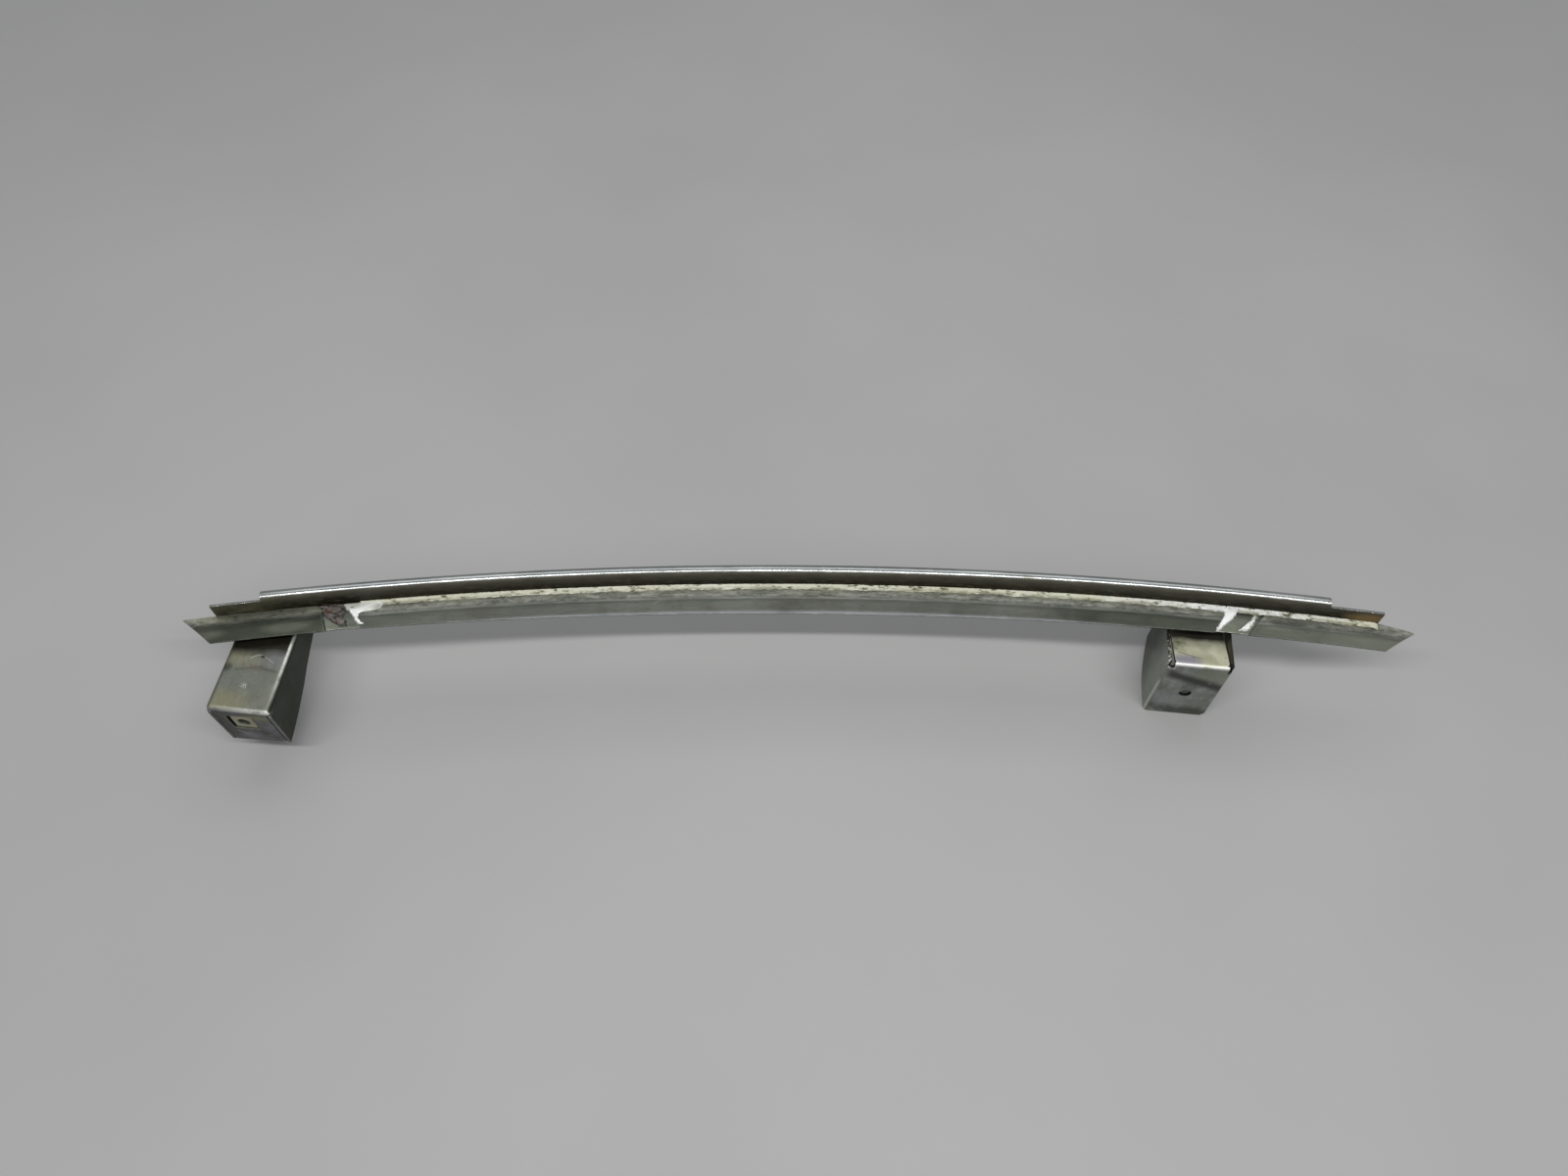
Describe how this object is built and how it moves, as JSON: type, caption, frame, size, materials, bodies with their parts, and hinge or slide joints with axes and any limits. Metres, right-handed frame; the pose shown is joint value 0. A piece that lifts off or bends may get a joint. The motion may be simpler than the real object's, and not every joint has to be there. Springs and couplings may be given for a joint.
{
  "type": "bracketed door bar",
  "caption": "Bowed sheet-metal rail with a curled edge and cover strips on folded end brackets, with a captive floating nut and a plain screw hole.",
  "frame": {"origin": "centre of the part's box, at the height of its lowest point", "axes": "+X along the rail's chord, from the bracket with the captive nut to the bracket with the plain hole; +Y from the bracket feet towards the rail; +Z out of the cover strips' faces"},
  "size_m": [0.5304, 0.067, 0.0593],
  "materials": {
    "channel_zinc": "zinc plated, dirty",
    "strip_zinc": "zinc plated, dull",
    "bracket_zinc": "zinc plated, worn",
    "cage_steel": "zinc plated",
    "nut_steel": "zinc plated, yellowish",
    "sealant": "dried, cracked",
    "rusty_sealant": "torn, rust stained"
  },
  "bodies": {
    "bar": {"rail_channel": "channel_zinc", "cover_strip_left": "strip_zinc", "cover_strip_middle": "strip_zinc", "cover_strip_right": "strip_zinc", "bracket_left": "bracket_zinc", "bracket_right": "bracket_zinc", "nut_cage": "cage_steel", "sealant_seam_middle": "sealant", "sealant_seam_right": "sealant", "sealant_left_torn": "rusty_sealant", "sealant_left_run": "sealant", "sealant_right_inner": "sealant", "sealant_right_outer": "sealant"},
    "floating_nut": {"floating_nut": "nut_steel"}
  },
  "joints": [
    {"name": "nut_float", "type": "slide", "parent": "bar", "child": "floating_nut", "axis": [0.9952, -0.0983, 0], "range_m": [-0.0007, 0.0007]}
  ]
}
